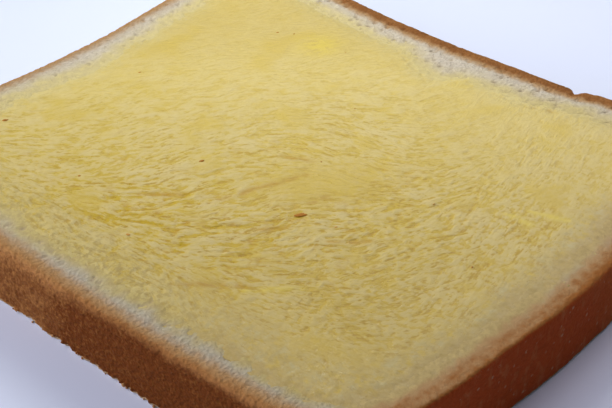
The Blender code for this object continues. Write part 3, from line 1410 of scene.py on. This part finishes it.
class Sheet:
    """The node sheet of one finish, with a Principled shader on it."""

    def __init__(self, name: str) -> None:
        """Start a material with nothing but its shader and output.

        Args:
            name: Name of the material.
        """
        self.material = bpy.data.materials.new(name)
        self.material.use_nodes = True
        self.tree = self.material.node_tree
        self.tree.nodes.clear()
        output = self.tree.nodes.new("ShaderNodeOutputMaterial")
        self.shader = self.tree.nodes.new("ShaderNodeBsdfPrincipled")
        self.tree.links.new(self.shader.outputs[0], output.inputs[0])

    def add(
        self,
        kind: str,
        settings: Mapping[str, object],
        sockets: Mapping[str | int, Input],
        result: str | int = 0,
    ) -> Wire:
        """Add a node.

        Args:
            kind: Blender's name for the node's type.
            settings: Its own settings, set before its sockets. A ramp's
                stops are given as places and colours.
            sockets: Values or wires for its input sockets.
            result: Name or number of the output to give back.

        Returns:
            The wire that leaves the chosen output.
        """
        node = self.tree.nodes.new(kind)
        for name, setting in settings.items():
            if name == "stops":
                self._set_stops(node.color_ramp, setting)
            else:
                setattr(node, name, setting)
        for name, value in sockets.items():
            self.feed(node.inputs[name], value)
        return Wire(self, node.outputs[result])

    @staticmethod
    def _set_stops(band: bpy.types.ColorRamp, stops: Sequence[tuple[float, Colour]]) -> None:
        """Give a colour ramp its stops.

        Args:
            band: The colour ramp.
            stops: Places and colours.
        """
        while len(band.elements) < len(stops):
            band.elements.new(1.0)
        for element, (place, colour) in zip(band.elements, stops):
            element.position = place
            element.color = (*colour, 1.0)

    def feed(self, socket: bpy.types.NodeSocket, value: Input) -> None:
        """Link a wire to a socket, or set the socket's own value.

        Args:
            socket: Input socket of a node.
            value: The wire, the number, or the colour or vector.
        """
        if isinstance(value, Wire):
            self.tree.links.new(value.socket, socket)
        elif isinstance(value, Sequence) and socket.type == "RGBA":
            socket.default_value = (*value, 1.0)
        else:
            socket.default_value = value

    def marks(self, *names: str) -> list[Wire]:
        """Read values that the mesh carries on its vertices."""
        kind = "ShaderNodeAttribute"
        return [self.add(kind, {"attribute_name": name}, {}, "Fac") for name in names]

    def place(self) -> Wire:
        """The place on the object, in metres."""
        return self.add("ShaderNodeTexCoord", {}, {}, "Object")

    def times(self, first: Wire, second: Input) -> Wire:
        """Multiply a colour or a vector, channel by channel."""
        return self.add("ShaderNodeVectorMath", {"operation": "MULTIPLY"}, {0: first, 1: second})

    def noise(self, vector: Wire, scale: float, detail: float = 3.0, rough: float = 0.55) -> Wire:
        """Cloudy noise from 0 to 1."""
        sockets = {"Vector": vector, "Scale": scale, "Detail": detail, "Roughness": rough}
        return self.add("ShaderNodeTexNoise", {}, sockets)

    def strands(self, lean: Wire, scale: float, stretch: float) -> Wire:
        """Noise drawn out into fine strands.

        A few sets of strands each run in one fixed direction, and each set
        shows where the wanted direction is close to its own.

        Args:
            lean: The wanted direction, in radians.
            scale: Number of strands side by side in a metre.
            stretch: How many times longer than broad a strand is.

        Returns:
            Values from 0 to 1.
        """
        place, gap, total = self.place(), math.radians(30), 0.0
        for way in np.arange(math.radians(-50), math.radians(131), gap):
            turned = self.add(
                "ShaderNodeMapping",
                {"vector_type": "TEXTURE"},
                {"Vector": place, "Rotation": (0.0, 0.0, float(way)), "Scale": (stretch, 1.0, 1.0)},
            )
            share = self.rise(lean, way - gap, way) - self.rise(lean, way, way + gap)
            total = total + share * self.noise(turned, scale, 3.0, 0.6)
        return total

    def cells(self, vector: Wire, scale: float) -> Wire:
        """Distance to scattered cell middles."""
        sockets = {"Vector": vector, "Scale": scale}
        return self.add("ShaderNodeTexVoronoi", {}, sockets, "Distance")

    def rise(self, value: Value, start: float, end: float) -> Wire:
        """Rise softly from 0 at start to 1 at end."""
        sockets = {"Value": value, "From Min": start, "From Max": end}
        return self.add("ShaderNodeMapRange", {"interpolation_type": "SMOOTHSTEP"}, sockets)

    def blend(self, share: Value, first: Input, second: Input) -> Wire:
        """Mix two colours; a share of 1 gives the second."""
        sockets = {"Factor": share, 6: first, 7: second}
        return self.add("ShaderNodeMix", {"data_type": "RGBA"}, sockets, 2)

    def coats(self, colour: Input, layers: Sequence[tuple[Value, Input]]) -> Wire:
        """Lay colours one over the other.

        Args:
            colour: The colour underneath.
            layers: For each colour laid over it, how much it covers and the
                colour.

        Returns:
            The colour that is seen.
        """
        for share, layer in layers:
            colour = self.blend(share, colour, layer)
        return colour

    def relief(self, layers: Sequence[tuple[Wire, float]]) -> Wire:
        """Stack Bump nodes.

        Args:
            layers: For each bump its height and its depth in metres.

        Returns:
            The normal that the last bump gives.
        """
        normal = {}
        for height, depth in layers:
            sockets = {"Height": height, "Distance": depth, "Strength": 1.0, **normal}
            normal = {"Normal": self.add("ShaderNodeBump", {}, sockets)}
        return normal["Normal"]

    def finish(self, **sockets: Input) -> bpy.types.Material:
        """Feed the shader and give the material.

        Args:
            **sockets: The shader's sockets, with _ for each space.

        Returns:
            The finished material.
        """
        for name, value in sockets.items():
            self.feed(self.shader.inputs[name.replace("_", " ")], value)
        return self.material


# ---------------------------------------------------------------- finishes


@dataclass(frozen=True)
class BreadFinish:
    """White crumb with fine pores, painted shade in the pores and towards the near corner, and a
    crust baked orange to dark brown.
    """

    crumb: Colour = (0.594, 0.518, 0.425)
    # The next colour is the crumb with painted shade, for the near corner.
    crumb_painted_shade: Colour = (0.416, 0.373, 0.308)
    # The next colour darkens random mottles, and paints shade into the pores.
    crumb_mottle_and_pore_shade: Colour = (0.40, 0.31, 0.21)
    grease: Colour = (0.63, 0.52, 0.245)
    # The next colour is the grease with painted shade, for the near corner.
    grease_painted_shade: Colour = (0.50, 0.385, 0.130)
    grease_side: Colour = (0.50, 0.37, 0.160)
    grease_deep: Colour = (0.37, 0.265, 0.095)
    section: Colour = (0.40, 0.235, 0.11)
    crust_pale: Colour = (0.415, 0.215, 0.080)
    crust_mid: Colour = (0.312, 0.134, 0.044)
    crust_brown: Colour = (0.118, 0.030, 0.0064)
    crust_orange: Colour = (0.40, 0.108, 0.026)
    crust_red: Colour = (0.37, 0.060, 0.013)
    spot: Colour = (0.13, 0.038, 0.010)
    fleck: Colour = (0.46, 0.21, 0.060)
    scuff: Colour = (0.42, 0.15, 0.055)
    rim_brown: Colour = (0.285, 0.108, 0.030)
    flour: Colour = (0.42, 0.24, 0.14)

    def make(self) -> bpy.types.Material:
        """Make the bread's material.

        Returns:
            The material.
        """
        sheet = Sheet("bread")
        place = sheet.place()
        crust, bake_and_painted_rim_light, pore, grease = sheet.marks("crust", "bake_and_painted_rim_light", "pore", "grease")
        grit, shaded, tone = sheet.marks("grit", "shaded", "tone")

        blotch = sheet.noise(place, 260.0)
        grain = sheet.noise(place, 1900.0, 3.0, 0.65)
        stained = sheet.noise(place, 750.0, 3.0, 0.6)
        drawn_up = sheet.noise(sheet.times(place, (1.0, 1.0, 0.6)), 520.0, 3.0, 0.6)
        # The bake mark also carries the painted light near the rim of the wall.
        stops = ((0.12, self.crust_pale), (0.42, self.crust_mid), (0.74, self.crust_brown))
        browned = bake_and_painted_rim_light + (blotch - 0.5) * 0.3
        red = sheet.blend(sheet.rise(bake_and_painted_rim_light, 0.40, 0.80), self.crust_orange, self.crust_red)
        spotted = sheet.rise(grain * 0.5 + stained * 0.5 - pore * 0.12, 0.50, 0.38) * grit * 0.62
        flecked = sheet.rise(grain * 0.6 + stained * 0.4, 0.46, 0.68) * grit * (0.82 - 0.68 * bake_and_painted_rim_light)
        dusted = sheet.rise(sheet.cells(place, 560.0), 0.26, 0.10) * sheet.rise(stained, 0.46, 0.56)
        crust_layers = (
            (shaded, red),
            (spotted, self.spot),
            (flecked, self.fleck),
            (sheet.rise(drawn_up, 0.52, 0.72) * shaded * 0.45, self.scuff),
            (dusted * shaded * 0.7, self.flour),
        )
        toasted = sheet.add("ShaderNodeValToRGB", {"stops": stops}, {"Fac": browned})
        baked = sheet.coats(toasted, crust_layers)

        mottled = sheet.rise(sheet.noise(place, 900.0, 4.0, 0.6), 0.3, 0.7)
        # Painted light and shade: crumb and grease darker towards the near corner and lighter
        # towards the back, and the soaked mottles stronger near that corner.
        greased = sheet.blend(tone, self.grease_painted_shade, self.grease)
        greased = sheet.blend(shaded, greased, self.grease_side)
        crumb_layers = (
            (tone, self.crumb),
            (grease, greased),
            (mottled * 0.3, self.crumb_mottle_and_pore_shade),
            (mottled * grease * (1.0 - tone) * 0.6, self.grease_deep),
            # Painted shade in the crumb's pores.
            (pore * 0.7, self.crumb_mottle_and_pore_shade),
        )
        ragged = crust + (sheet.noise(place, 700.0) - 0.5) * 0.3 * sheet.rise(crust, 0.0, 0.2)
        outer = sheet.rise(ragged - 0.25 * shaded, 0.40, 0.74)
        rim_layers = (
            (sheet.rise(ragged, 0.0, 0.5), self.section),
            (sheet.rise(ragged, 0.40, 0.66) * shaded, self.rim_brown),
            (outer, baked),
        )
        colour = sheet.coats(sheet.coats(self.crumb_painted_shade, crumb_layers), rim_layers)

        pocked = sheet.cells(place, 1500.0) * (1.0 - 0.85 * grease) * (1.0 - 0.6 * shaded)
        grained = grain * (1.0 - 0.25 * grease) * (1.0 - 0.3 * shaded)
        return sheet.finish(
            Base_Color=colour,
            Roughness=0.9 - 0.2 * outer,
            Normal=sheet.relief(((pocked, 0.00022), (grained, 0.00025))),
            Specular_IOR_Level=0.02,
        )


@dataclass(frozen=True)
class MargarineFinish:
    """Pale yellow fat with darker, deeper yellow in its tears and hollows, partly painted shade,
    and paler raised strands, partly painted highlight.
    """

    yellow: Colour = (0.66, 0.51, 0.175)
    # The next colour is pale thick fat, and painted highlight on raised strands.
    pale_and_painted_highlight: Colour = (0.70, 0.57, 0.29)
    # The next two colours are deeper yellow with painted shade, for the low strands and hollows.
    deep_yellow_and_painted_shade: Colour = (0.585, 0.40, 0.016)
    hollow_yellow_and_painted_shade: Colour = (0.47, 0.285, 0.016)
    grime: Colour = (0.45, 0.33, 0.11)
    rich: Colour = (0.64, 0.465, 0.085)
    gold: Colour = (0.66, 0.47, 0.045)
    # The next colour is orange-yellow with painted shade, for tears and furrows.
    tear_yellow_and_painted_shade: Colour = (0.50, 0.285, 0.012)
    thin: Colour = (0.64, 0.535, 0.265)
    tan: Colour = (0.54, 0.40, 0.175)
    chalk: Colour = (0.60, 0.53, 0.34)
    ridge: Colour = (0.78, 0.62, 0.10)
    # The next two colours are painted shade for the near corner and painted light for the back.
    near_painted_shade: Colour = (0.755, 0.705, 0.525)
    far_painted_light: Colour = (0.98, 0.975, 0.91)

    def make(self) -> bpy.types.Material:
        """Make the margarine's material.

        Returns:
            The material.
        """
        sheet = Sheet("margarine")
        place = sheet.place()
        streak, hair, groove, furrow = sheet.marks("streak", "hair", "groove", "furrow")
        full, smooth, calm, lean, side = sheet.marks("full", "smooth", "calm", "lean", "side")
        ridge, brink, tone = sheet.marks("ridge", "brink", "tone")
        mottle = sheet.noise(place, 1300.0, 4.0, 0.65)
        strand = sheet.strands(lean, 2400.0, 3.6)
        thread = sheet.strands(lean, 1150.0, 4.2)
        uneven = sheet.noise(place, 480.0, 4.0, 0.6)

        lively = (1.0 - 0.7 * smooth) * (1.0 - calm)
        thinned = 1.0 - full
        beside = thinned * side
        frayed = 0.12 + streak * 0.76 + (strand - 0.5) * 1.3 + (thread - 0.5) * 1.1
        thready = 0.30 + hair * 0.4 + (strand - 0.5) * 1.1 + (thread - 0.5) * 1.5
        clouded = sheet.rise(sheet.noise(place, 90.0, 2.0), 0.35, 0.7) * (0.45 - 0.25 * calm)
        golden = sheet.rise(sheet.noise(place, 240.0, 3.0, 0.6), 0.50, 0.68) * full
        torn = groove * sheet.rise(mottle, 0.3, 0.55)
        cut = furrow * sheet.rise(thread * 0.6 + strand * 0.4, 0.36, 0.54)
        grimy = sheet.rise(sheet.noise(place, 850.0, 4.0, 0.6), 0.44, 0.62) * thinned
        layers = (
            (clouded, self.pale_and_painted_highlight),
            (smooth * 0.8, self.rich),
            (golden * (0.52 - 0.46 * calm), self.gold),
            # Low strands and hollows: deeper yellow, partly painted shade.
            (sheet.rise(frayed, 0.52, 0.26) * lively, self.deep_yellow_and_painted_shade),
            # Raised strands: paler, partly painted highlight.
            (sheet.rise(frayed, 0.56, 0.84) * lively * 0.8, self.pale_and_painted_highlight),
            (sheet.rise(thready, 0.40, 0.22) * lively * 0.8, self.hollow_yellow_and_painted_shade),
            # Tears and furrows: orange-yellow, partly painted shade.
            (torn * 0.65, self.tear_yellow_and_painted_shade),
            (cut * 0.85, self.tear_yellow_and_painted_shade),
            (ridge * 0.6, self.ridge),
            (thinned * sheet.rise(mottle, 0.35, 0.6) * 0.6, self.thin),
            (beside * 0.45, self.tan),
            (sheet.rise(uneven, 0.53, 0.66) * beside * 0.7, self.chalk),
            (sheet.rise(uneven, 0.47, 0.36) * beside * 0.6, self.gold),
            (brink * 0.8, sheet.blend(side, self.thin, self.tan)),
            (grimy * (1.0 - calm) * (0.85 - 0.3 * side), self.grime),
        )
        # Painted light and shade over the whole film: darker towards the near corner, lighter
        # towards the back.
        tint = sheet.blend(tone, self.near_painted_shade, self.far_painted_light)
        colour = sheet.times(sheet.coats(self.yellow, layers), tint)

        drawn = 1.0 - 0.7 * side
        bumps = ((mottle, 0.00008), (thread * drawn, 0.00025), (strand * drawn, 0.00014))
        wet = sheet.rise(sheet.noise(place, 1700.0, 2.0), 0.60, 0.70) * (1.0 - calm)
        return sheet.finish(
            Base_Color=colour,
            Roughness=0.50 + (streak - 0.5) * 0.25 + 0.08 * torn - 0.34 * wet,
            Normal=sheet.relief(bumps),
            Specular_IOR_Level=0.34,
        )


@dataclass(frozen=True)
class CrumbFinish:
    """Browned crumbs, some paler than others."""

    name: str = "crust_crumbs"
    brown: Colour = (0.26, 0.095, 0.030)
    tan: Colour = (0.46, 0.24, 0.10)

    def make(self) -> bpy.types.Material:
        """Make the crumbs' material.

        Returns:
            The material.
        """
        sheet = Sheet(self.name)
        place = sheet.place()
        patch = sheet.noise(place, 420.0, 2.0)
        grain = sheet.noise(place, 2600.0)
        return sheet.finish(
            Base_Color=sheet.blend(sheet.rise(patch, 0.4, 0.65), self.brown, self.tan),
            Roughness=0.7 + (grain - 0.5) * 0.2,
            Normal=sheet.relief(((grain, 0.00015),)),
            Specular_IOR_Level=0.05,
        )


@dataclass(frozen=True)
class FloorFinish:
    """A plain pale glazed floor."""

    white: Colour = (0.75, 0.79, 0.98)
    haze: Colour = (0.71, 0.75, 0.94)

    def make(self) -> bpy.types.Material:
        """Make the floor's material.

        Returns:
            The material.
        """
        sheet = Sheet("pale_floor")
        hazy = sheet.noise(sheet.place(), 6.0, 2.0) * 0.15
        return sheet.finish(Base_Color=sheet.blend(hazy, self.white, self.haze), Roughness=0.55)


# ---------------------------------------------------------------- the studio


class Lamp(Enum):
    """The studio's soft lights: place and size in metres, power and colour."""

    WINDOW = ((-0.34, -0.25, 0.35), 0.35, 1.16, (0.87, 0.93, 1.0))
    TABLE = ((-0.25, -0.40, 0.12), 0.25, 1.12, (0.95, 0.95, 1.0))
    FRONT = ((-0.05, -0.50, 0.32), 0.35, 0.50, (0.93, 0.90, 1.0))
    BACK = ((0.0, 0.45, 0.35), 0.35, 1.00, (0.82, 0.84, 1.0))
    CEILING = ((-0.075, 0.080, 0.15), 0.13, 0.16, (0.95, 1.0, 0.90))
    BACK_RIGHT = ((0.05, 0.13, 0.18), 0.13, 0.06, (1.0, 0.90, 0.75))


@dataclass
class Studio:
    """Floor, lights and camera."""

    floor_size: float = 6.0
    ambient: Colour = (0.90, 0.93, 1.0)
    ambient_strength: float = 0.12
    eye: tuple[float, float, float] = (0.14989, -0.15912, 0.16346)
    heading: float = math.radians(42.888)
    down: float = math.radians(36.308)
    roll: float = math.radians(-1.305)
    lens: float = 85.79
    sensor_width: float = 36.0
    clip_start: float = 0.01

    def build(self) -> None:
        """Set up the whole studio."""
        self._floor()
        for lamp in Lamp:
            self._light(lamp)
        self._world()
        self._camera()
        bpy.context.scene.view_settings.view_transform = "Standard"

    def _floor(self) -> None:
        """Lay a plain floor under the slice."""
        form = bmesh.new()
        bmesh.ops.create_grid(form, x_segments=2, y_segments=2, size=self.floor_size / 2)
        mesh = bpy.data.meshes.new("floor")
        form.to_mesh(mesh)
        form.free()
        floor = link_new("floor", mesh)
        mesh.materials.append(FloorFinish().make())

    def _light(self, lamp: Lamp) -> None:
        """Hang one soft light, aimed at the middle of the slice's foot.

        Args:
            lamp: The light.
        """
        place, size, power, colour = lamp.value
        data = bpy.data.lights.new(lamp.name.lower(), "AREA")
        data.shape = "DISK"
        data.size = size
        data.energy = power
        data.color = colour
        light = link_new(data.name, data)
        light.location = place
        light.rotation_euler = (-Vector(place)).to_track_quat("-Z", "Y").to_euler()

    def _world(self) -> None:
        """Fill the room with even, slightly blue light."""
        world = bpy.data.worlds.new("room")
        world.use_nodes = True
        background = world.node_tree.nodes["Background"]
        background.inputs["Color"].default_value = (*self.ambient, 1.0)
        background.inputs["Strength"].default_value = self.ambient_strength
        bpy.context.scene.world = world

    def _camera(self) -> None:
        """Look down over the near corner of the slice."""
        data = bpy.data.cameras.new("camera")
        data.lens = self.lens
        data.sensor_width = self.sensor_width
        data.clip_start = self.clip_start
        camera = link_new("camera", data)
        turn = Matrix.Rotation(self.heading, 4, "Z")
        tilt = Matrix.Rotation(math.pi / 2 - self.down, 4, "X")
        lean = Matrix.Rotation(self.roll, 4, "Z")
        camera.matrix_world = Matrix.Translation(self.eye) @ turn @ tilt @ lean
        bpy.context.scene.camera = camera


def main() -> None:
    """Build the bread, the margarine and the crumbs, then the studio."""
    logging.basicConfig(level=logging.INFO, format="%(name)s: %(message)s")
    packed = PackedSlice(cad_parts["bread_slice"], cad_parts["margarine_spread"])

    bread = BreadSlice(packed)
    bread_piece = bread.build()
    bread.dress(bread_piece)
    film = MargarineFilm(packed)
    film_piece = film.build()
    film.dress(film_piece)
    crumbs = ClingingCrumbs(packed)
    crumb_piece = crumbs.build()
    crumbs.dress(crumb_piece)
    flakes = CrustFlakes(film)
    flake_piece = flakes.build(film_piece)
    flakes.dress(flake_piece)
    Studio().build()

    for piece in (bread_piece, film_piece, crumb_piece, flake_piece):
        triangles = sum(len(face.vertices) - 2 for face in piece.data.polygons)
        log.info("%s: %d triangles", piece.name, triangles)


if __name__ == "__main__":
    main()
